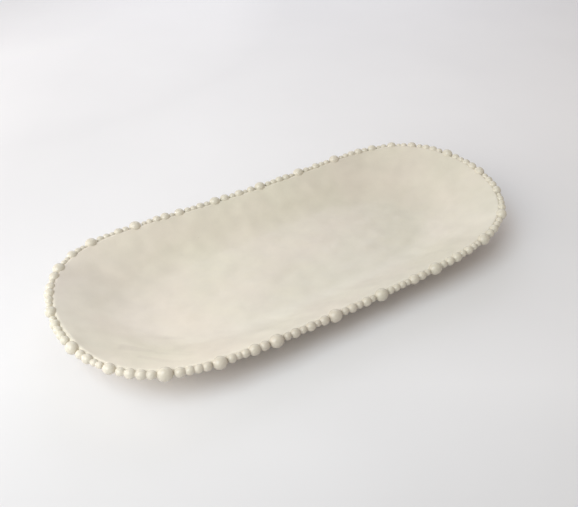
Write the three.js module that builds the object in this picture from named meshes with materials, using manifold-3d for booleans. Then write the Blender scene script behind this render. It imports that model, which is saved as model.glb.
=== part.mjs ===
// A long oval serving platter, built by hand in clay: one pressed slab with a string of rolled
// clay beads pressed onto its cut edge. Millimetres, +Z up. The platter stands on z = 0, its
// length lies along X and its middle is at the origin.
import * as THREE from "three";
import { mergeVertices } from "three/addons/utils/BufferGeometryUtils.js";
import Module from "manifold-3d";

// The slab. Its lip is the inner corner of the cut edge, before that corner is rounded.
const LIP_LENGTH = 423.6;
const LIP_WIDTH = 186.1;
const LIP_HEIGHT = 28.1; // above the table, at the middle of the long sides
const END_RISE = 12.5; // how much higher the lip stands at the two ends
const SLAB_THICKNESS = 5.5;
const SIDE_WALL_REACH = 48; // from the lip in to the flat floor, on the long sides
const END_WALL_REACH = 83; // the same at the two ends
const SIDE_BEND_RADIUS = 40; // of the bend between floor and wall, on the inside of the long sides
const END_BEND_RADIUS = 90; // the same at the two ends, where the wall rises more gently
const EDGE_ROUNDING = 2.2; // the corners of the cut edge, wiped round with a sponge

// The exponents of the two ovals: 2 draws an ellipse, and more draws straighter long sides.
const LIP_EXPONENT = 5.9;
const FLOOR_EXPONENT = 4;

// The beads, by diameter across the edge.
const LARGE_BEAD = 11;
const BIG_BEAD = 9;
const MEDIUM_BEAD = 8;
const SMALL_BEAD = 6.5;
const TINY_BEAD = 5.1;
const BEAD_SPREAD = 0.07; // how much longer a pressed bead is along the edge, as a share of its diameter
const BEAD_DROP = 0.3; // how far the beads sit towards the outside from the middle of the edge
const SEAT_HEIGHT = 1.2; // from the middle of a bead down to its seat, where the edge bites into it
const BEAD_OVERLAP = 0.64; // how far neighbours in a run press into each other
const SLIP_GAP = 0.3; // the joint between the edge and a bead, and on both sides of an accent bead
const FIRST_BEAD_ANGLE = THREE.MathUtils.degToRad(155);

// The string round the edge, in stretches. A stretch starts with an accent bead, which stands out,
// and goes on with a run of lesser ones. The letters are the beads' sizes: Large, Big, Medium,
// Small and Tiny.
const BEAD_STRING = [
  "LBTMBST", "LTMSSS", "LSMTT", "BSMMS", "LMSSS",
  "LSTSBM", "LSMSMTM", "LSMSMT", "LSSSTBMT", "LSMBSMST",
  "LMMSS", "LMSST", "BMMS", "LBMSM", "LSMMS",
  "BST", "BST", "BSBMST", "LSSMTS", "LTMMSS",
  "LMTBS", "BLSMSS", "BTBMST", "LSMTSS", "LTSBTT",
];
const BEAD_SIZES = {
  L: LARGE_BEAD,
  B: BIG_BEAD,
  M: MEDIUM_BEAD,
  S: SMALL_BEAD,
  T: TINY_BEAD,
};

// How finely the round forms are cut into flat faces.
const SECTIONS_ROUND = 88;
const BEND_STEPS = 4;
const EDGE_STEPS = 2;
const BEND_LIMIT = 0.9; // share of the widest bend that the wall has room for
const BEAD_SIDES = 8;
const BEAD_STEPS = 4;
const SOLVER_STEPS = 32;
const TANGENT_STEP = 1e-4;

const FULL_TURN = 2 * Math.PI;
const PLANNED_BEADS = BEAD_STRING.join("").length;
const FLOOR_LENGTH = LIP_LENGTH - 2 * END_WALL_REACH;
const FLOOR_WIDTH = LIP_WIDTH - 2 * SIDE_WALL_REACH;
const UP = new THREE.Vector3(0, 0, 1);

const GLAZE = new THREE.MeshStandardMaterial({ color: 0xe4ddcc, roughness: 0.38, metalness: 0 });

const wasm = await Module();
wasm.setup();

// A point of an oval at a share (-1 to 1) of its half length, on its +Y or -Y side.
function ovalPoint(share, side, length, width, exponent) {
  const across = Math.sqrt(Math.max(0, 1 - Math.abs(share) ** exponent));
  return new THREE.Vector3((share * length) / 2, (side * across * width) / 2, 0);
}

// The slab's section at an angle round the platter: where the wall starts, which way it leans
// out, how steep it is, and how long its straight part is.
function wallAt(angle) {
  const share = Math.cos(angle);
  const side = Math.sign(Math.sin(angle));
  const lip = ovalPoint(share, side, LIP_LENGTH, LIP_WIDTH, LIP_EXPONENT);
  const spread = (LIP_LENGTH / FLOOR_LENGTH - 1) * (1 - Math.abs(share));
  const floorShare = share * (1 + spread);
  const foot = ovalPoint(floorShare, side, FLOOR_LENGTH, FLOOR_WIDTH, FLOOR_EXPONENT);
  const out = lip.clone().sub(foot);
  const reach = out.length();
  const endwise = share ** 2;
  const rise = LIP_HEIGHT - SLAB_THICKNESS + END_RISE * endwise;
  const widestBend = (reach ** 2 + rise ** 2) / (2 * rise);
  const softBend = SIDE_BEND_RADIUS + (END_BEND_RADIUS - SIDE_BEND_RADIUS) * endwise;
  const radius = Math.min(softBend, BEND_LIMIT * widestBend);
  const span = Math.hypot(reach, rise - radius);
  const slope = Math.atan2(rise - radius, reach) + Math.asin(radius / span);
  const straight = Math.sqrt(reach ** 2 + rise ** 2 - 2 * rise * radius);
  return { foot, out: out.normalize(), slope, radius, straight };
}

// A point of the section: out along the wall's bend by an angle, then up its straight part,
// at a depth into the slab from the inside.
function sectionPoint(wall, bend, along, depth) {
  const radius = wall.radius + depth;
  const outward = radius * Math.sin(bend) + along * Math.cos(bend);
  const height = SLAB_THICKNESS - depth + radius * (1 - Math.cos(bend)) + along * Math.sin(bend);
  return wall.foot.clone().addScaledVector(wall.out, outward).setZ(height);
}

// The rounded corner between a face of the wall and its cut edge.
function roundedCorner(wallLength) {
  const corner = [];
  for (let i = 0; i <= EDGE_STEPS; i++) {
    const turn = (Math.PI / 2) * (i / EDGE_STEPS);
    const along = wallLength - EDGE_ROUNDING * (1 - Math.sin(turn));
    corner.push({ along, depth: EDGE_ROUNDING * (1 - Math.cos(turn)) });
  }
  return corner;
}

// The section's outline, from the edge of the flat floor over the lip to the edge of the base.
function sectionOutline(angle) {
  const wall = wallAt(angle);
  const points = [];
  for (let i = 0; i <= BEND_STEPS; i++) {
    points.push(sectionPoint(wall, (wall.slope * i) / BEND_STEPS, 0, 0));
  }
  const corner = roundedCorner(wall.straight);
  for (const { along, depth } of corner) {
    points.push(sectionPoint(wall, wall.slope, along, depth));
  }
  for (const { along, depth } of corner.reverse()) {
    points.push(sectionPoint(wall, wall.slope, along, SLAB_THICKNESS - depth));
  }
  for (let i = BEND_STEPS; i >= 0; i--) {
    points.push(sectionPoint(wall, (wall.slope * i) / BEND_STEPS, 0, SLAB_THICKNESS));
  }
  return points;
}

// A closed surface through equal sections set round a ring, with a flat top and bottom.
function loftRound(sections, topMiddle, bottomMiddle) {
  const count = sections.length;
  const size = sections[0].length;
  const points = [...sections.flat(), topMiddle, bottomMiddle];
  const top = points.length - 2;
  const bottom = points.length - 1;
  const faces = [];
  for (let i = 0; i < count; i++) {
    const here = i * size;
    const next = ((i + 1) % count) * size;
    faces.push(top, here, next);
    for (let j = 0; j < size - 1; j++) {
      faces.push(here + j, here + j + 1, next + j + 1);
      faces.push(here + j, next + j + 1, next + j);
    }
    faces.push(bottom, next + size - 1, here + size - 1);
  }
  const geometry = new THREE.BufferGeometry().setFromPoints(points);
  geometry.setIndex(faces);
  geometry.computeVertexNormals();
  return geometry;
}

// The pressed slab: a flat floor, a softly bent wall, and a rounded edge square to the wall.
function dishGeometry() {
  const sections = [];
  for (let i = 0; i < SECTIONS_ROUND; i++) {
    sections.push(sectionOutline((FULL_TURN * (i + 0.5)) / SECTIONS_ROUND));
  }
  const floorMiddle = new THREE.Vector3(0, 0, SLAB_THICKNESS);
  const baseMiddle = new THREE.Vector3(0, 0, 0);
  return loftRound(sections, floorMiddle, baseMiddle);
}

// The middle of the cut edge at an angle round the platter.
function edgeMiddle(angle) {
  const wall = wallAt(angle);
  return sectionPoint(wall, wall.slope, wall.straight, SLAB_THICKNESS / 2);
}

// Where a bead seats on the cut edge: the point, the way along the edge, the way out of it, and
// the way across it to the outside of the platter.
function seatAt(angle) {
  const wall = wallAt(angle);
  const along = edgeMiddle(angle + TANGENT_STEP).sub(edgeMiddle(angle - TANGENT_STEP)).normalize();
  const throughSlab = wall.out.clone().multiplyScalar(Math.sin(wall.slope));
  throughSlab.addScaledVector(UP, -Math.cos(wall.slope));
  const outward = new THREE.Vector3().crossVectors(throughSlab, along).normalize();
  const across = new THREE.Vector3().crossVectors(along, outward);
  return { point: edgeMiddle(angle), along, outward, across };
}

// A bead of one size in its place on the edge.
function beadAt(angle, size) {
  const { point, outward, across } = seatAt(angle);
  const middle = point.clone().addScaledVector(outward, SLIP_GAP + SEAT_HEIGHT);
  middle.addScaledVector(across, BEAD_DROP);
  return { angle, size, middle };
}

// The bead of one size that lies at a set distance beyond another.
function beadBeyond(last, size, distance) {
  let low = last.angle;
  let high = last.angle + FULL_TURN / 4;
  for (let i = 0; i < SOLVER_STEPS; i++) {
    const angle = (low + high) / 2;
    if (beadAt(angle, size).middle.distanceTo(last.middle) < distance) low = angle;
    else high = angle;
  }
  return beadAt(low, size);
}

// The next bead of the string, at its place in its stretch. The beads of a run press together,
// and the accent bead, at place 0, has a joint on both sides.
function nextBead(last, size, place, overlap) {
  const touching = ((last.size + size) / 2) * (1 + BEAD_SPREAD);
  return beadBeyond(last, size, place > 1 ? touching - overlap : touching + SLIP_GAP);
}

// The stretches of a string of this many beads, as lists of bead sizes. On a longer or shorter
// edge each stretch gains or loses its share of the beads, so it keeps its place on the platter.
function stretchSizes(count) {
  let planned = 0;
  let laid = 0;
  return BEAD_STRING.map((letters) => {
    planned += letters.length;
    const length = Math.round((count * planned) / PLANNED_BEADS) - laid;
    laid += length;
    return Array.from({ length }, (_, place) => BEAD_SIZES[letters[place % letters.length]]);
  });
}

// A string of this many beads laid along the edge, stretch by stretch.
function layString(count, overlap) {
  let last = null;
  return stretchSizes(count).map((sizes) =>
    sizes.map((size, place) => {
      last = last ? nextBead(last, size, place, overlap) : beadAt(FIRST_BEAD_ANGLE, size);
      return last;
    }),
  );
}

// What is left of the full turn when the first bead would follow the last one again.
function turnLeft(count, overlap) {
  const beads = layString(count, overlap).flat();
  const again = nextBead(beads.at(-1), beads[0].size, 0, overlap);
  return FIRST_BEAD_ANGLE + FULL_TURN - again.angle;
}

// The number of beads that comes nearest to filling the edge at the wished overlap.
function beadsThatFit() {
  const misfit = (count) => Math.abs(turnLeft(count, BEAD_OVERLAP));
  let count = PLANNED_BEADS;
  while (misfit(count + 1) < misfit(count)) count += 1;
  while (misfit(count - 1) < misfit(count)) count -= 1;
  return count;
}

// The whole string, its beads moved together or apart a little so that it closes on itself.
function closedString() {
  const count = beadsThatFit();
  let loose = 0;
  let tight = 2 * BEAD_OVERLAP;
  for (let i = 0; i < SOLVER_STEPS; i++) {
    const overlap = (loose + tight) / 2;
    if (turnLeft(count, overlap) < 0) loose = overlap;
    else tight = overlap;
  }
  return layString(count, tight);
}

// A clay ball with its middle at the origin and its poles on Y, spread a little along X.
function ballGeometry(size) {
  const profile = [];
  for (let i = 0; i <= BEAD_STEPS; i++) {
    const climb = Math.PI * (i / BEAD_STEPS - 0.5);
    profile.push(new THREE.Vector2(Math.cos(climb), Math.sin(climb)).multiplyScalar(size / 2));
  }
  return new THREE.LatheGeometry(profile, BEAD_SIDES).scale(1 + BEAD_SPREAD, 1, 1);
}

// The room that the slab's edge and the joint round it take up on the -Y side of a ball.
function notchGeometry(size) {
  const notch = new THREE.BoxGeometry(2 * size, size, SLAB_THICKNESS + 2 * SLIP_GAP);
  return notch.translate(0, -SEAT_HEIGHT - size / 2, -BEAD_DROP);
}

// A bead in its place: one corner of its girth points along the edge, at its neighbours.
function placedBead(bead) {
  const seat = seatAt(bead.angle);
  const place = new THREE.Matrix4().makeBasis(seat.along, seat.outward, seat.across);
  place.setPosition(bead.middle);
  const ball = solidOf(ballGeometry(bead.size).applyMatrix4(place));
  return ball.subtract(solidOf(notchGeometry(bead.size).applyMatrix4(place)));
}

function solidOf(geometry) {
  geometry.deleteAttribute("normal");
  geometry.deleteAttribute("uv");
  const merged = mergeVertices(geometry);
  const mesh = new wasm.Mesh({
    numProp: 3,
    vertProperties: new Float32Array(merged.attributes.position.array),
    triVerts: new Uint32Array(merged.index.array),
  });
  return new wasm.Manifold(mesh);
}

function geometryOf(solid) {
  const { vertProperties, triVerts } = solid.getMesh();
  const geometry = new THREE.BufferGeometry();
  geometry.setAttribute("position", new THREE.BufferAttribute(vertProperties, 3));
  geometry.setIndex(new THREE.BufferAttribute(triVerts, 1));
  geometry.computeVertexNormals();
  return geometry;
}

// Beads joined where they press on each other.
function beadsGeometry(beads) {
  const solids = beads.map(placedBead);
  return geometryOf(solids.reduce((joined, bead) => joined.add(bead)));
}

function named(name, geometry) {
  const mesh = new THREE.Mesh(geometry, GLAZE.clone());
  mesh.name = name;
  return mesh;
}

const platter = new THREE.Group();
platter.add(named("dish", dishGeometry()));
closedString().forEach(([accent, ...run], i) => {
  const number = String(i + 1).padStart(2, "0");
  platter.add(named(`accent_bead_${number}`, beadsGeometry([accent])));
  platter.add(named(`bead_run_${number}`, beadsGeometry(run)));
});

export default platter;
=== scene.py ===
import math
import random

import bpy
import bmesh
import numpy as np
from mathutils import Matrix, Vector


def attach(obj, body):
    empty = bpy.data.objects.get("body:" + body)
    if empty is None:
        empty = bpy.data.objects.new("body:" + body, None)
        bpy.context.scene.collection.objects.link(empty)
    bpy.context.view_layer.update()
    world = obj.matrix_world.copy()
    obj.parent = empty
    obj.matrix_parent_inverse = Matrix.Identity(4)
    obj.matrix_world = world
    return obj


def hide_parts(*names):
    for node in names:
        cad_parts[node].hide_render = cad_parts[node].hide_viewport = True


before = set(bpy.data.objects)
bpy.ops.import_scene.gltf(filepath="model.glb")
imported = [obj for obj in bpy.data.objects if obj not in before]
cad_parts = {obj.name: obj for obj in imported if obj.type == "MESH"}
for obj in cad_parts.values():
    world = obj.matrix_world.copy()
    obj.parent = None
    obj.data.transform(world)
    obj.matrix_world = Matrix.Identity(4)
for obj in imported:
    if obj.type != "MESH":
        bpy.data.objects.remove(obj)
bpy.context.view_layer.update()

# A long oval serving platter, hand-built in clay and glazed: one pressed slab with a string of
# rolled beads round its cut edge. The sizes here are in millimetres and are those of the CAD
# model; a mesh is turned into metres when it is made. Places in the materials, and those of the
# lamps, are in metres.
METRES = 0.001

# The slab.
LIP_LENGTH = 423.6
LIP_WIDTH = 186.1
LIP_HEIGHT = 28.1
END_RISE = 12.5
SLAB = 5.5
SIDE_WALL_REACH = 48.0
END_WALL_REACH = 83.0
SIDE_BEND_RADIUS = 40.0
END_BEND_RADIUS = 90.0
BEND_LIMIT = 0.9
LIP_EXPONENT = 5.9
FLOOR_EXPONENT = 4.0
FLOOR_LENGTH = LIP_LENGTH - 2 * END_WALL_REACH
FLOOR_WIDTH = LIP_WIDTH - 2 * SIDE_WALL_REACH
FLOOR_SPINE = (FLOOR_LENGTH - FLOOR_WIDTH) / 2
EDGE_ROUNDING = 2.2

# The beads.
BEAD_SIZES = {"L": 11.0, "B": 9.0, "M": 8.0, "S": 6.5, "T": 5.1}
BEAD_SPREAD = 0.07
BEAD_DROP = 0.3
SEAT_HEIGHT = 1.2
BEAD_OVERLAP = 0.6361
SLIP_GAP = 0.3
FIRST_BEAD_ANGLE = math.radians(155.0)
BEAD_STRING = [
    "LBTMBST", "LTMSSS", "LSMTT", "BSMMS", "LMSSS",
    "LSTSBM", "LSMSMTM", "LSMSMT", "LSSSTBMT", "LSMBSMST",
    "LMMSS", "LMSST", "BMMS", "LBMSM", "LSMMS",
    "BST", "BST", "BSBMST", "LSSMTS", "LTMMSS",
    "LMTBS", "BLSMSS", "BTBMST", "LSMTSS", "LTSBTT",
]

# How finely the slab is cut. The rings of the outer wall, the outer bend and the base have their
# first share, their last share and their count.
AROUND = 900
FLOOR_RINGS = 34
BEND_RINGS = 18
WALL_RINGS = 30
EDGE_RINGS = 13
OUTER_WALL_RINGS = (0.8, 0.2, 4)
OUTER_BEND_RINGS = (1, 0, 7)
BASE_RINGS = (0.75, 0, 4)

# The turn over the edge after which its outer rounding begins: just past a quarter turn.
OUTER_ROUNDING_AFTER = 1.58

# The steps round the edge on which beads are laid, and how many steps ahead the next one may lie.
EDGE_TABLE = 40000
NEXT_BEAD_WITHIN = EDGE_TABLE // 8

# How finely the beads are cut, and how often the creases between them are smoothed: they are
# sharper on the near side.
BALL_SUBDIVISIONS = 4
RUN_VOXEL = 0.28
SMOOTH_FACTOR = 0.5
NEAR_SMOOTHING = 4
OTHER_SMOOTHING = 10

# The uneven surface that pressing leaves inside and outside: depth, and the shortest and longest
# wave. Outside, it fades out towards the base.
PRESS_DEPTH = 0.16
OUTSIDE_DEPTH = 0.22
PRESS_WAVES = (14.0, 60.0)
PRESS_COUNT = 40
INSIDE_SEED = 3
OUTSIDE_SEED = 5
OUTSIDE_FROM = 0.5
OUTSIDE_FADE = 8
FACING_SHARPNESS = 4

# The unevenness of the rolled beads, as shares of their size, and their turn in radians.
BEAD_SEED = 11
BEAD_LUMPS = 0.032
LUMP_COUNT = 7
LUMP_WAVES = (1.2, 2.6)
BEAD_SQUASH = 0.03
BEAD_TURN = 0.5
BEAD_FULLNESS = 0.968
BEAD_TOUCH = 1.05

# The small beads at the left end and the near left corner are plumper than elsewhere.
PLUMP_UNDER = 3.5
PLUMP_END = -185.0
PLUMP_CORNER = (-90.0, -20.0)
PLUMP_SHARE = 1.1

# Where the near side begins, and the least radius of its beads.
NEAR_SIDE = -60.0
NEAR_LEAST = 2.85

# The large balls of the far side and the right end are a little smaller.
LARGE_OVER = 5.0
LARGE_FROM = (150.0, 0.0)
LARGE_SHARE = 0.95

# Where the string lies a little off its line or is thicker or thinner: the middle of the place,
# its width, how far out the beads lie, how far up over the edge, and their share of the thickness.
UNEVEN_PLACES = [
    ((-212.0, -20.0), 32.0, 0.9, 0.0, 1.0),
    ((-192.0, 62.0), 25.0, -0.5, 0.0, 1.0),
    ((-75.0, 93.0), 50.0, -0.4, 0.0, 1.05),
    ((90.0, 93.0), 70.0, 0.0, 0.5, 1.0),
    ((-128.0, -93.0), 14.0, 0.8, 0.0, 1.0),
    ((205.0, -20.0), 70.0, -0.3, 0.2, 0.95),
]

# The accent beads that are smaller than the others: the number, and the share of the full size.
SMALLER_ACCENTS = {2: 0.85, 3: 0.9, 6: 0.95}

# Shallow marks of a smoothing tool on the inside: start, end, half width at both, and depth.
STROKES = [
    ((-177.1, -36.3), (-156.8, -48.7), 4.6, 2.0, 0.20),
    ((-169.0, -54.5), (-151.2, -72.9), 2.4, 2.8, 0.14),
    ((-155.9, -50.8), (-135.8, -68.3), 2.0, 1.2, 0.10),
    ((-139.7, -30.3), (-128.7, -37.3), 2.2, 1.6, 0.18),
    ((-147.7, -35.5), (-143.8, -34.9), 1.6, 1.6, 0.08),
    ((-102.8, -43.9), (-97.3, -46.2), 2.2, 2.0, 0.10),
    ((-128.3, -49.2), (-101.0, -55.9), 2.2, 2.4, 0.07),
    ((-101.0, -55.9), (-73.1, -63.4), 2.4, 2.4, 0.10),
    ((-73.1, -63.4), (-39.0, -71.3), 2.4, 1.6, 0.08),
    ((-139.6, -48.6), (-112.8, -57.2), 6.0, 4.0, 0.06),
    ((-115.6, -73.1), (-104.7, -75.0), 3.0, 2.0, 0.09),
    ((-61.8, -53.2), (-55.3, -57.9), 2.4, 2.0, 0.09),
    ((-41.7, -61.9), (-36.2, -65.9), 2.4, 2.0, 0.09),
    ((-13.6, -55.9), (-2.7, -58.6), 2.6, 2.0, 0.10),
    ((8.2, -52.5), (27.7, -65.5), 3.0, 2.0, 0.06),
    ((49.9, -50.0), (73.8, -69.2), 3.0, 2.0, 0.05),
    ((88.0, -72.5), (113.4, -84.2), 4.0, 2.0, 0.05),
]

# The share of its depth that a stroke has lost at its end, how far it runs out past both ends,
# and the power that makes its floor flat.
STROKE_FADE = 0.5
STROKE_RUNOUT = 2.5
STROKE_FLATNESS = 6

# The camera, in millimetres and degrees, and its lens on a 36 mm sensor.
CAMERA_AZIMUTH = -31.675
CAMERA_ELEVATION = 39.493
CAMERA_DISTANCE = 565.12
CAMERA_TARGET = (-12.486, -10.878, 27.0)
CLIP_START = 10.0
SENSOR_WIDTH = 36.0
LENS = 39.61


def oval_point(share, side, length, width, exponent):
    """Points of an oval at shares of its half length, on its +Y or -Y side."""
    across = np.sqrt(np.maximum(0.0, 1.0 - np.abs(share) ** exponent))
    return np.stack([share * length / 2, side * across * width / 2], axis=-1)


def walls_at(angles):
    """The slab's sections at angles round the platter."""
    share = np.cos(angles)
    side = np.sign(np.sin(angles))
    lip = oval_point(share, side, LIP_LENGTH, LIP_WIDTH, LIP_EXPONENT)
    floor_share = share * (1 + (LIP_LENGTH / FLOOR_LENGTH - 1) * (1 - np.abs(share)))
    foot = oval_point(floor_share, side, FLOOR_LENGTH, FLOOR_WIDTH, FLOOR_EXPONENT)
    spine = np.stack([floor_share * FLOOR_SPINE, 0 * share], axis=-1)
    reach = np.linalg.norm(lip - foot, axis=-1)
    endwise = share**2
    rise = LIP_HEIGHT - SLAB + END_RISE * endwise
    soft_bend = SIDE_BEND_RADIUS + (END_BEND_RADIUS - SIDE_BEND_RADIUS) * endwise
    radius = np.minimum(soft_bend, BEND_LIMIT * (reach**2 + rise**2) / (2 * rise))
    slope = np.arctan2(rise - radius, reach) + np.arcsin(radius / np.hypot(reach, rise - radius))
    straight = np.sqrt(reach**2 + rise**2 - 2 * rise * radius)
    return {
        "foot": foot,
        "spine": spine,
        "out": (lip - foot) / reach[..., None],
        "slope": slope,
        "radius": radius,
        "straight": straight,
    }


def section_points(wall, bend, along, depth):
    """Points of the sections: round the bend, up the straight wall, at a depth into the slab."""
    radius = wall["radius"] + depth
    outward = radius * np.sin(bend) + along * np.cos(bend)
    height = SLAB - depth + radius * (1 - np.cos(bend)) + along * np.sin(bend)
    flat = wall["foot"] + wall["out"] * outward[..., None]
    return np.concatenate([flat, height[..., None]], axis=-1)


def floor_points(wall, share, height):
    """Points between the spine of the floor and the foot of the wall."""
    flat = wall["spine"] + (wall["foot"] - wall["spine"]) * share
    return np.concatenate([flat, np.full((len(flat), 1), height)], axis=-1)


def dish_rings():
    """The rings of the slab's surface, from the middle of the floor over the lip to the base."""
    wall = walls_at(2 * np.pi * (np.arange(AROUND) + 0.5) / AROUND)
    slope, straight = wall["slope"], wall["straight"]
    top = straight - EDGE_ROUNDING
    rings = [floor_points(wall, t, SLAB) for t in np.linspace(0, 1, FLOOR_RINGS, endpoint=False)]
    for t in np.linspace(0, 1, BEND_RINGS, endpoint=False):
        rings.append(section_points(wall, slope * t, 0 * top, 0))
    for t in np.linspace(0, 1, WALL_RINGS, endpoint=False):
        rings.append(section_points(wall, slope, top * t, 0))
    flat = SLAB - 2 * EDGE_ROUNDING
    for turn in np.linspace(0, np.pi, EDGE_RINGS):
        along = top + EDGE_ROUNDING * math.sin(turn)
        depth = EDGE_ROUNDING * (1 - math.cos(turn)) + flat * (turn > OUTER_ROUNDING_AFTER)
        rings.append(section_points(wall, slope, along, depth))
    for t in np.linspace(*OUTER_WALL_RINGS):
        rings.append(section_points(wall, slope, top * t, SLAB))
    for t in np.linspace(*OUTER_BEND_RINGS):
        rings.append(section_points(wall, slope * t, 0 * top, SLAB))
    rings += [floor_points(wall, t, 0.0) for t in np.linspace(*BASE_RINGS)]
    return rings


def faces_of_rings(count):
    """Faces between the rings. The first and last rings are folded flat onto their spines."""
    def vertex(ring, i):
        i %= AROUND
        if ring in (0, count - 1):
            i = min(i, AROUND - 1 - i)
        return ring * AROUND + i

    faces = []
    for ring in range(count - 1):
        for i in range(AROUND):
            corners = [
                vertex(ring, i),
                vertex(ring + 1, i),
                vertex(ring + 1, i + 1),
                vertex(ring, i + 1),
            ]
            face = list(dict.fromkeys(corners))
            if len(face) > 2:
                faces.append(face)
    return faces


def press_waves(seed):
    """A gentle uneven surface: many small waves in all directions of the plan."""
    dice = random.Random(seed)
    shortest, longest = PRESS_WAVES
    rows = []
    for _ in range(PRESS_COUNT):
        length = shortest * (longest / shortest) ** dice.random()
        turn = dice.uniform(0, 2 * math.pi)
        rows.append((math.cos(turn) / length, math.sin(turn) / length, dice.uniform(0, 1)))

    def height(x, y):
        total = sum(np.cos(2 * np.pi * (a * x + b * y + c)) for a, b, c in rows)
        return total * math.sqrt(2 / PRESS_COUNT)

    return height


def stroke_depth(x, y):
    """How deep the smoothing strokes are pressed in at points of the plan."""
    total = np.zeros_like(x)
    for (x0, y0), (x1, y1), start_width, end_width, depth in STROKES:
        dx, dy = x1 - x0, y1 - y0
        length = math.hypot(dx, dy)
        along = ((x - x0) * dx + (y - y0) * dy) / length
        off = (-(x - x0) * dy + (y - y0) * dx) / length
        share = np.clip(along / length, 0, 1)
        half_width = start_width + (end_width - start_width) * share
        past = np.maximum(0, np.maximum(-along, along - length))
        flat_floor = 1 / (1 + (off / half_width) ** STROKE_FLATNESS)
        pressed = depth * (1 - STROKE_FADE * share) * flat_floor
        total = np.maximum(total, pressed * np.exp(-((past / STROKE_RUNOUT) ** 2)))
    return total


def put_in_scene(name, data):
    """A new object in the scene, made of a mesh, a lamp or a camera."""
    obj = bpy.data.objects.new(name, data)
    bpy.context.scene.collection.objects.link(obj)
    return obj


def new_object(name, vertices, faces):
    """A new mesh object, from points in millimetres."""
    mesh = bpy.data.meshes.new(name)
    mesh.from_pydata((np.asarray(vertices) * METRES).tolist(), [], faces)
    return put_in_scene(name, mesh)


def drop_loose(obj):
    """Takes away the points that no face uses."""
    work = bmesh.new()
    work.from_mesh(obj.data)
    loose = [v for v in work.verts if not v.link_faces]
    bmesh.ops.delete(work, geom=loose, context="VERTS")
    work.to_mesh(obj.data)
    work.free()


def make_dish():
    """The pressed slab, its surface a little uneven and marked by the smoothing strokes."""
    rings = dish_rings()
    obj = new_object("glazed_dish", np.concatenate(rings), faces_of_rings(len(rings)))
    drop_loose(obj)
    mesh = obj.data
    count = len(mesh.vertices)
    points = np.empty(count * 3)
    normals = np.empty(count * 3)
    mesh.vertices.foreach_get("co", points)
    mesh.vertex_normals.foreach_get("vector", normals)
    points = points.reshape(-1, 3) / METRES
    normals = normals.reshape(-1, 3)
    x, y, z = points.T
    inside = np.clip(normals[:, 2] * FACING_SHARPNESS, 0, 1)
    outside = np.clip(-normals[:, 2] * FACING_SHARPNESS, 0, 1)
    outside *= np.clip((z - OUTSIDE_FROM) / OUTSIDE_FADE, 0, 1)
    strokes = inside * stroke_depth(x, y)
    lift = inside * PRESS_DEPTH * press_waves(INSIDE_SEED)(x, y) - strokes
    lift += outside * OUTSIDE_DEPTH * press_waves(OUTSIDE_SEED)(x, y)
    points += normals * lift[:, None]
    points[:, 2] = np.maximum(points[:, 2], 0)
    mesh.vertices.foreach_set("co", (points * METRES).ravel())
    mesh.attributes.new("stroke", "FLOAT", "POINT").data.foreach_set("value", strokes)
    mesh.shade_smooth()
    return obj


def edge_table():
    """The middle of the edge all the way round, with the ways along, out of and across it."""
    angles = 2 * np.pi * (np.arange(EDGE_TABLE) + 0.5) / EDGE_TABLE
    wall = walls_at(angles)
    slope = wall["slope"]
    middle = section_points(wall, slope, wall["straight"], SLAB / 2)
    along = np.roll(middle, -1, axis=0) - np.roll(middle, 1, axis=0)
    along /= np.linalg.norm(along, axis=1)[:, None]
    flat = wall["out"] * np.sin(slope)[:, None]
    through = np.concatenate([flat, -np.cos(slope)[:, None]], axis=1)
    outward = np.cross(through, along)
    outward /= np.linalg.norm(outward, axis=1)[:, None]
    return middle, along, outward, np.cross(along, outward)


def lay_string():
    """The beads of the string, stretch by stretch: size, middle, and the ways along and out."""
    middle, along, outward, across = edge_table()
    line = middle + outward * (SLIP_GAP + SEAT_HEIGHT) + across * BEAD_DROP
    last = None
    stretches = []
    for letters in BEAD_STRING:
        beads = []
        for place, letter in enumerate(letters):
            size = BEAD_SIZES[letter]
            if last is None:
                at = round(FIRST_BEAD_ANGLE / (2 * math.pi) * EDGE_TABLE - 0.5)
            else:
                wanted = (last["size"] + size) / 2 * (1 + BEAD_SPREAD)
                wanted += -BEAD_OVERLAP if place > 1 else SLIP_GAP
                ahead = (last["at"] + np.arange(NEXT_BEAD_WITHIN)) % EDGE_TABLE
                far = np.linalg.norm(line[ahead] - last["middle"], axis=1)
                at = ahead[np.argmin(np.abs(far - wanted))]
            last = {
                "at": int(at),
                "size": size,
                "middle": line[at],
                "along": along[at],
                "outward": outward[at],
            }
            beads.append(last)
        stretches.append(beads)
    return stretches


def lumps(dice):
    """A soft uneven swelling over a ball: a few slow waves in all directions."""
    rows = []
    for _ in range(LUMP_COUNT):
        way = Vector([dice.gauss(0, 1) for _ in range(3)]).normalized()
        rows.append((way * dice.uniform(*LUMP_WAVES), dice.uniform(0, 2 * math.pi)))
    return lambda p: sum(math.cos(way.dot(p) + phase) for way, phase in rows) / len(rows)


def bead_radius(size, middle):
    """A bead's radius: its size, with the differences from one stretch of the rim to another."""
    radius = size / 2
    in_corner = middle.x < PLUMP_CORNER[0] and middle.y < PLUMP_CORNER[1]
    if radius < PLUMP_UNDER and (in_corner or middle.x < PLUMP_END):
        radius *= PLUMP_SHARE
    if middle.y < NEAR_SIDE:
        radius = max(radius, NEAR_LEAST)
    if radius > LARGE_OVER and (middle.x > LARGE_FROM[0] or middle.y > LARGE_FROM[1]):
        radius *= LARGE_SHARE
    return radius


def unevenness(middle):
    """How far a bead lies out of and up from its line, and its share of the thickness."""
    shift, lift, thickness = 0.0, 0.0, 1.0
    for place, width, reach, rise, share in UNEVEN_PLACES:
        weight = math.exp(-(((middle.xy - Vector(place)).length / width) ** 2))
        shift += weight * reach
        lift += weight * rise
        thickness += weight * (share - 1)
    return shift, lift, thickness


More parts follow.
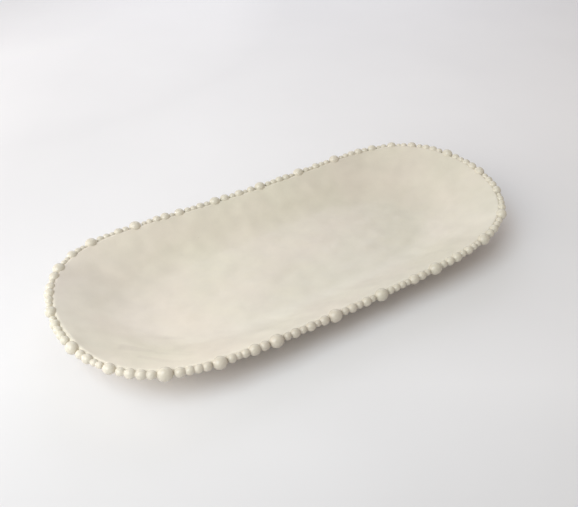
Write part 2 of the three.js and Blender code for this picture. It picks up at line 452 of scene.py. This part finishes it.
def add_ball(work, bead, dice):
    """One hand-rolled ball in its place on the edge."""
    along, outward = Vector(bead["along"]), Vector(bead["outward"])
    across = along.cross(outward)
    middle = Vector(bead["middle"])
    radius = bead_radius(bead["size"], middle)
    shift, lift, thickness = unevenness(middle)
    middle.xy += outward.xy.normalized() * shift
    middle -= across * lift
    swell = lumps(dice)
    squash = dice.uniform(-BEAD_SQUASH, BEAD_SQUASH)
    turn = Matrix.Rotation(dice.uniform(-BEAD_TURN, BEAD_TURN), 3, "X")
    length = (1 + BEAD_SPREAD) * BEAD_TOUCH
    girth = (length, (1 + squash) * thickness, (1 - squash) * thickness)
    ball = bmesh.ops.create_icosphere(work, subdivisions=BALL_SUBDIVISIONS, radius=1.0)
    for vertex in ball["verts"]:
        way = turn @ vertex.co
        size = radius * (BEAD_FULLNESS + BEAD_LUMPS * swell(vertex.co))
        local = Vector((way.x * girth[0], way.y * girth[1], way.z * girth[2])) * size
        vertex.co = (middle + along * local.x + outward * local.y + across * local.z) * METRES


def make_beads(name, beads, dice):
    """Beads of one piece, with the glaze drawn smooth where they press on each other."""
    work = bmesh.new()
    for bead in beads:
        add_ball(work, bead, dice)
    mesh = bpy.data.meshes.new(name)
    work.to_mesh(mesh)
    work.free()
    mesh.shade_smooth()
    obj = put_in_scene(name, mesh)
    if len(beads) > 1:
        joined = obj.modifiers.new("joined", "REMESH")
        joined.mode = "VOXEL"
        joined.voxel_size = RUN_VOXEL * METRES
        joined.use_smooth_shade = True
        smooth = obj.modifiers.new("glaze_flow", "SMOOTH")
        smooth.factor = SMOOTH_FACTOR
        on_near_side = np.mean([bead["middle"][1] for bead in beads]) < NEAR_SIDE
        smooth.iterations = NEAR_SMOOTHING if on_near_side else OTHER_SMOOTHING
    return obj


class Nodes:
    """A short way to write a material's nodes."""

    def __init__(self, name):
        self.material = bpy.data.materials.new(name)
        self.material.use_nodes = True
        self.tree = self.material.node_tree
        self.shader = self.tree.nodes["Principled BSDF"]

    def add(self, kind, settings=None, **inputs):
        node = self.tree.nodes.new(kind)
        for key, value in (settings or {}).items():
            setattr(node, key, value)
        for key, value in inputs.items():
            self.put(node.inputs[key.replace("_", " ")], value)
        return node

    def put(self, socket, value):
        if isinstance(value, bpy.types.NodeSocket):
            self.tree.links.new(value, socket)
        else:
            socket.default_value = value

    def noise(self, place, scale, detail, roughness):
        node = self.add(
            "ShaderNodeTexNoise", Vector=place, Scale=scale, Detail=detail, Roughness=roughness
        )
        return node.outputs["Fac"]

    def remap(self, value, low, high, to_low, to_high):
        node = self.add("ShaderNodeMapRange", Value=value)
        for socket, number in zip(node.inputs[1:5], (low, high, to_low, to_high)):
            socket.default_value = number
        return node.outputs["Result"]

    def mix(self, share, one, other, blend="MIX"):
        node = self.add("ShaderNodeMix", {"data_type": "RGBA", "blend_type": blend})
        self.put(node.inputs["Factor"], share)
        for socket, value in zip((node.inputs[6], node.inputs[7]), (one, other)):
            self.put(socket, value)
        return node.outputs[2]

    def dot(self, place, way):
        node = self.add("ShaderNodeVectorMath", {"operation": "DOT_PRODUCT"})
        self.put(node.inputs[0], place)
        node.inputs[1].default_value = way
        return node.outputs["Value"]

    def distance(self, place, middle):
        node = self.add("ShaderNodeVectorMath", {"operation": "DISTANCE"})
        self.put(node.inputs[0], place)
        node.inputs[1].default_value = middle
        return node.outputs["Value"]

    def math(self, operation, one, other):
        node = self.add("ShaderNodeMath", {"operation": operation})
        self.put(node.inputs[0], one)
        self.put(node.inputs[1], other)
        return node.outputs[0]


# The noises of the materials: how many waves to the metre, their detail and their roughness.
CLOUDS = (48.0, 3.0, 0.55)
WARMTH = (13.0, 2.0, 0.5)
SHEEN = (160.0, 3.0, 0.5)
ORANGE_PEEL = (620.0, 3.0, 0.6)
RAGGED_LINE = (70.0, 4.0, 0.5)
CLAY_GRAIN = (900.0, 4.0, 0.7)
TABLE_CLOUDS = (6.0, 3.0, 0.5)

# The part of a noise that is drawn out to its full range.
NOISE_SPREAD = (0.3, 0.7)
WARMTH_SPREAD = (0.35, 0.65)

# The tones of the glaze: the darker clouds, the share of the rosy and mossy tints, and the painted
# light that makes the near left corner paler: its middle, its reach and its tone.
CLOUD_TONE = 0.87
TINT_SHARE = 0.4
CORNER_LIGHT_MIDDLE = (-0.16, -0.075, 0.02)
CORNER_LIGHT_REACH = (0.03, 0.09)
CORNER_LIGHT_TONE = 1.09

# Painted shade on the beads of the near side, darker and browner: along Y, X and Z, from where to
# where, and its share there.
NEAR_SHADE_Y = (-0.095, -0.08, 1.0, 0.0)
NEAR_SHADE_X = (-0.11, 0.02, 1.0, 0.55)
NEAR_SHADE_Z = (0.026, 0.033, 1.0, 0.4)

# Faint specks, and the tone of the smoothing strokes: from which depth to which, and its share.
SPECK_SCALE = 30.0
SPECK_EDGE = (0.008, 0.016, 0.4, 0.0)
SPECK_COLOUR = (0.42, 0.34, 0.24, 1.0)
STROKE_SHARES = (0.02, 0.2, 0.0, 0.3)
STROKE_TONE = 0.84

# The surface of the glaze: how far its roughness drifts, and its fine bump.
GLAZE_IOR = 1.5
SHEEN_DRIFT = 0.12
PEEL_STRENGTH = 0.12
PEEL_DEPTH = 0.0003

# The underside: painted shade where the glaze faces down, and bare clay below a ragged line at the
# base.
FACES_DOWN = -0.05
UNDERSIDE_PAINTED_SHADE = (0.82, 0.78, 0.74, 1.0)
GLAZE_LINE = (0.0011, 0.0015, 0.0, 1.0)
RAGGED_HEIGHT = 0.0008
CLAY_TONES = (0.85, 1.05)
CLAY_ROUGHNESS = 0.85

# Broad patches of painted light and shade, some also tinted: middle, reach of the full tint, where
# it ends, and tint.
BEAD_PAINTED_LIGHT = [((-0.21, 0.0, 0.04), 0.04, 0.08, (1.06, 1.06, 1.06, 1.0))]
SLAB_LIGHT_AND_TINT_PATCHES = [
    ((0.03, 0.078, 0.02), 0.03, 0.10, (1.05, 1.05, 1.05, 1.0)),
    ((-0.17, 0.04, 0.02), 0.04, 0.095, (1.007, 0.993, 1.02, 1.0)),
    ((-0.188, 0.043, 0.031), 0.01, 0.035, (0.95, 0.95, 0.95, 1.0)),
    ((-0.185, 0.0, 0.025), 0.012, 0.04, (1.05, 1.05, 1.05, 1.0)),
    ((0.025, 0.012, 0.005), 0.03, 0.09, (0.97, 0.97, 0.97, 1.0)),
    ((-0.06, -0.065, 0.01), 0.02, 0.07, (1.0, 1.02, 1.03, 1.0)),
    ((0.041, -0.065, 0.01), 0.03, 0.08, (1.005, 1.012, 1.035, 1.0)),
]


def tone_of(colour, tone):
    """A colour made darker by a tone."""
    return tuple(tone * c for c in colour[:3]) + (1.0,)


def cloudy_colour(nodes, place, base, rose, moss, painted_light_way):
    """The base colour, cloudy, warmer and cooler in places, with painted light: paler along a way
    and at a corner.
    """
    clouds = nodes.remap(nodes.noise(place, *CLOUDS), *NOISE_SPREAD, 0.0, 1.0)
    warmth = nodes.remap(nodes.noise(place, *WARMTH), *WARMTH_SPREAD, 0.0, 1.0)
    colour = nodes.mix(clouds, tone_of(base, CLOUD_TONE), base)
    colour = nodes.mix(TINT_SHARE, colour, nodes.mix(warmth, rose, moss))
    # Painted light: paler at the near left corner and along the given way.
    painted_corner_light = nodes.remap(nodes.distance(place, CORNER_LIGHT_MIDDLE), *CORNER_LIGHT_REACH, CORNER_LIGHT_TONE, 1.0)
    paler = nodes.math("MULTIPLY", nodes.math("ADD", nodes.dot(place, painted_light_way), 1.0), painted_corner_light)
    return nodes.mix(1.0, colour, paler, "MULTIPLY")


def with_patches(nodes, place, colour, patches):
    """Broad patches of painted light and shade, some also of another tint."""
    for middle, full, end, tint in patches:
        share = nodes.remap(nodes.distance(place, middle), full, end, 1.0, 0.0)
        colour = nodes.mix(share, colour, tint, "MULTIPLY")
    return colour


def with_painted_near_shade(nodes, place, colour, near_shade_colour):
    """Painted shade, darker and browner, on the near side: more so at the left and low down."""
    near = nodes.remap(nodes.dot(place, (0.0, 1.0, 0.0)), *NEAR_SHADE_Y)
    left = nodes.remap(nodes.dot(place, (1.0, 0.0, 0.0)), *NEAR_SHADE_X)
    low = nodes.remap(nodes.dot(place, (0.0, 0.0, 1.0)), *NEAR_SHADE_Z)
    share = nodes.math("MULTIPLY", nodes.math("MULTIPLY", near, left), low)
    return nodes.mix(share, colour, near_shade_colour, "MULTIPLY")


def with_marks(nodes, place, colour, rose):
    """Faint specks, and a darker tone in the smoothing strokes."""
    specks = nodes.add("ShaderNodeTexVoronoi", Vector=place, Scale=SPECK_SCALE, Randomness=1.0)
    spot = nodes.remap(specks.outputs["Distance"], *SPECK_EDGE)
    colour = nodes.mix(spot, colour, SPECK_COLOUR)
    stroke = nodes.add("ShaderNodeAttribute", {"attribute_name": "stroke"}).outputs["Fac"]
    return nodes.mix(nodes.remap(stroke, *STROKE_SHARES), colour, tone_of(rose, STROKE_TONE))


def with_bare_base(nodes, place, colour, rough, bare):
    """The colour and roughness with painted shade on the underside and bare clay where the platter
    stands.
    """
    height = nodes.add("ShaderNodeSeparateXYZ", Vector=place).outputs["Z"]
    wander = nodes.noise(place, *RAGGED_LINE)
    ragged = nodes.remap(wander, *NOISE_SPREAD, -RAGGED_HEIGHT, RAGGED_HEIGHT)
    above_line = nodes.remap(nodes.math("ADD", height, ragged), *GLAZE_LINE)
    facing = nodes.add("ShaderNodeNewGeometry").outputs["Normal"]
    upward = nodes.add("ShaderNodeSeparateXYZ", Vector=facing).outputs["Z"]
    upper_side = nodes.math("GREATER_THAN", upward, FACES_DOWN)
    glazed = nodes.math("MAXIMUM", above_line, upper_side)
    grain = nodes.remap(nodes.noise(place, *CLAY_GRAIN), *NOISE_SPREAD, *CLAY_TONES)
    clay = nodes.mix(1.0, bare, grain, "MULTIPLY")
    # Painted shade: darker where the glaze faces down.
    underside = nodes.mix(1.0, colour, UNDERSIDE_PAINTED_SHADE, "MULTIPLY")
    colour = nodes.mix(glazed, clay, nodes.mix(upper_side, underside, colour))
    rough = nodes.add("ShaderNodeMapRange", Value=glazed, To_Min=CLAY_ROUGHNESS, To_Max=rough)
    return colour, rough.outputs["Result"]


def glaze(name, base, rose, moss, gloss, painted_light_way, patches, near_shade_colour=None, bare=None):
    """A satin cream glaze with painted light. It can have painted shade in places, and can leave
    the base bare.
    """
    nodes = Nodes(name)
    place = nodes.add("ShaderNodeTexCoord").outputs["Object"]
    colour = cloudy_colour(nodes, place, base, rose, moss, painted_light_way)
    # Painted light and shade, in broad patches.
    colour = with_patches(nodes, place, colour, patches)
    if near_shade_colour:
        colour = with_painted_near_shade(nodes, place, colour, near_shade_colour)
    colour = with_marks(nodes, place, colour, rose)
    rough = nodes.remap(nodes.noise(place, *SHEEN), *NOISE_SPREAD, gloss, gloss + SHEEN_DRIFT)
    if bare:
        colour, rough = with_bare_base(nodes, place, colour, rough, bare)
    peel = nodes.noise(place, *ORANGE_PEEL)
    bump = nodes.add("ShaderNodeBump", Strength=PEEL_STRENGTH, Distance=PEEL_DEPTH, Height=peel)
    nodes.put(nodes.shader.inputs["Base Color"], colour)
    nodes.put(nodes.shader.inputs["Roughness"], rough)
    nodes.put(nodes.shader.inputs["Normal"], bump.outputs["Normal"])
    nodes.shader.inputs["IOR"].default_value = GLAZE_IOR
    return nodes.material


def place_piece(obj, node, material):
    obj.data.materials.append(material)
    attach(obj, "root")
    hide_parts(node)


def make_platter():
    """The dish and, stretch by stretch, each accent bead and the run of beads after it."""
    slab_glaze = glaze(
        "slab_glaze",
        base=(0.738, 0.688, 0.587, 1.0),
        rose=(0.723, 0.641, 0.562, 1.0),
        moss=(0.693, 0.663, 0.539, 1.0),
        gloss=0.36,
        # Painted light: the slab is paler towards the left and higher up.
        painted_light_way=(-0.40, 0.0, 1.8),
        patches=SLAB_LIGHT_AND_TINT_PATCHES,
        bare=(0.52, 0.40, 0.27, 1.0),
    )
    bead_glaze = glaze(
        "bead_glaze",
        base=(0.721, 0.67, 0.566, 1.0),
        rose=(0.707, 0.641, 0.547, 1.0),
        moss=(0.679, 0.651, 0.528, 1.0),
        gloss=0.2,
        painted_light_way=(0.0, 0.0, 0.0),
        patches=BEAD_PAINTED_LIGHT,
        # Painted shade: the near side's beads are darker and browner, most at the left and low
        # down.
        near_shade_colour=(0.745, 0.715, 0.695, 1.0),
    )
    place_piece(make_dish(), "dish", slab_glaze)
    dice = random.Random(BEAD_SEED)
    for number, beads in enumerate(lay_string(), start=1):
        lead = dict(beads[0], size=beads[0]["size"] * SMALLER_ACCENTS.get(number, 1.0))
        accent = make_beads(f"glazed_accent_{number:02d}", [lead], dice)
        place_piece(accent, f"accent_bead_{number:02d}", bead_glaze)
        run = make_beads(f"glazed_run_{number:02d}", beads[1:], dice)
        place_piece(run, f"bead_run_{number:02d}", bead_glaze)


# The table top: half its width and how far it lies below the base, in millimetres, and the two
# tones of its clouds.
TABLE_REACH = 4000.0
TABLE_DROP = 0.1
TABLE_TONES = ((0.825, 0.82, 0.835, 1.0), (0.845, 0.84, 0.855, 1.0))
TABLE_ROUGHNESS = 0.7
TABLE_SPECULAR = 0.2

# Painted light and shade on the table: darker towards the camera and far to its left, paler away
# from it and at the far left corner. Each has the way, from where to where, and the tone at both.
# The ways lead away from the camera and to its left. The far left corner has a middle instead of a
# way.
AWAY = (0.525, 0.851, 0.0)
LEFTWARD = (-0.851, 0.525, 0.0)
TABLE_PAINTED_LIGHT = [
    (AWAY, -0.24, -0.14, 0.88, 1.0),
    (AWAY, 0.03, 0.3, 1.0, 1.085),
    (LEFTWARD, 0.12, 0.32, 1.0, 0.92),
]
TABLE_LIGHT_CORNER = (-0.1, 0.9, 0.0)
TABLE_LIGHT_CORNER_TONES = (0.25, 0.54, 1.2, 1.0)


def table_material():
    """A pale table top, very slightly cloudy, with painted light and shade."""
    nodes = Nodes("table_top")
    place = nodes.add("ShaderNodeTexCoord").outputs["Object"]
    clouds = nodes.remap(nodes.noise(place, *TABLE_CLOUDS), *NOISE_SPREAD, 0.0, 1.0)
    # Painted light and shade across the table.
    tone = nodes.remap(nodes.distance(place, TABLE_LIGHT_CORNER), *TABLE_LIGHT_CORNER_TONES)
    for way, *tones in TABLE_PAINTED_LIGHT:
        tone = nodes.math("MULTIPLY", tone, nodes.remap(nodes.dot(place, way), *tones))
    colour = nodes.mix(1.0, nodes.mix(clouds, *TABLE_TONES), tone, "MULTIPLY")
    nodes.put(nodes.shader.inputs["Base Color"], colour)
    nodes.shader.inputs["Roughness"].default_value = TABLE_ROUGHNESS
    nodes.shader.inputs["Specular IOR Level"].default_value = TABLE_SPECULAR
    return nodes.material


def make_table():
    ways = [(-1, -1), (1, -1), (1, 1), (-1, 1)]
    corners = [(x * TABLE_REACH, y * TABLE_REACH, -TABLE_DROP) for x, y in ways]
    obj = new_object("table", corners, [(0, 1, 2, 3)])
    obj.data.materials.append(table_material())


def make_camera():
    azimuth, elevation = math.radians(CAMERA_AZIMUTH), math.radians(CAMERA_ELEVATION)
    flat = math.cos(elevation)
    back = Vector((math.sin(azimuth) * flat, -math.cos(azimuth) * flat, math.sin(elevation)))
    right = Vector((math.cos(azimuth), math.sin(azimuth), 0))
    up = back.cross(right)
    eye = (Vector(CAMERA_TARGET) + back * CAMERA_DISTANCE) * METRES
    data = bpy.data.cameras.new("camera")
    data.sensor_fit = "HORIZONTAL"
    data.sensor_width = SENSOR_WIDTH
    data.lens = LENS
    data.clip_start = CLIP_START * METRES
    camera = put_in_scene("camera", data)
    camera.matrix_world = Matrix.Translation(eye) @ Matrix((right, up, back)).transposed().to_4x4()
    bpy.context.scene.camera = camera


# The lamps: place, size, power and colour. The window and the key light stand at the camera's left.
LAMPS = [
    ("window", (-0.757, 0.467, 0.18), (0.22, 0.2), 1.38, (1.0, 1.0, 1.0)),
    ("left", (-0.766, 0.473, 0.5), (0.8, 0.6), 1.35, (1.0, 0.8, 0.72)),
    ("key", (-0.876, -0.208, 0.6), (0.8, 0.6), 4.5, (1.0, 0.98, 0.92)),
    ("key_high", (-0.681, -0.161, 1.1), (0.8, 0.6), 5.95, (0.74, 0.88, 1.0)),
    ("back", (0.63, 1.021, 0.7), (1.0, 0.8), 4.05, (0.87, 0.9, 1.0)),
    ("right", (1.021, -0.63, 0.7), (1.0, 0.8), 1.0, (1.0, 0.6, 0.4)),
    ("overhead", (0.0, 0.0, 1.6), (1.6, 1.6), 2.9, (1.0, 0.84, 0.5)),
]
LAMP_AIM = (0, 0, 0.02)
SKY = 0.325
SKY_COLOUR = (1.0, 0.975, 0.955, 1.0)


def make_lamp(name, place, size, watts, colour):
    """A soft rectangular lamp that faces the middle of the platter."""
    data = bpy.data.lights.new(name, "AREA")
    data.shape = "RECTANGLE"
    data.size, data.size_y = size
    data.energy = watts
    data.color = colour
    lamp = put_in_scene(name, data)
    lamp.location = place
    aim = Vector(LAMP_AIM) - Vector(place)
    lamp.rotation_euler = aim.to_track_quat("-Z", "Y").to_euler()


def make_light():
    """The lamps, and a plain sky that fills the shadows."""
    for lamp in LAMPS:
        make_lamp(*lamp)
    world = bpy.data.worlds.new("studio")
    world.use_nodes = True
    world.node_tree.nodes["Background"].inputs["Color"].default_value = SKY_COLOUR
    world.node_tree.nodes["Background"].inputs["Strength"].default_value = SKY
    bpy.context.scene.world = world
    bpy.context.scene.view_settings.view_transform = "Standard"


make_platter()
make_table()
make_camera()
make_light()
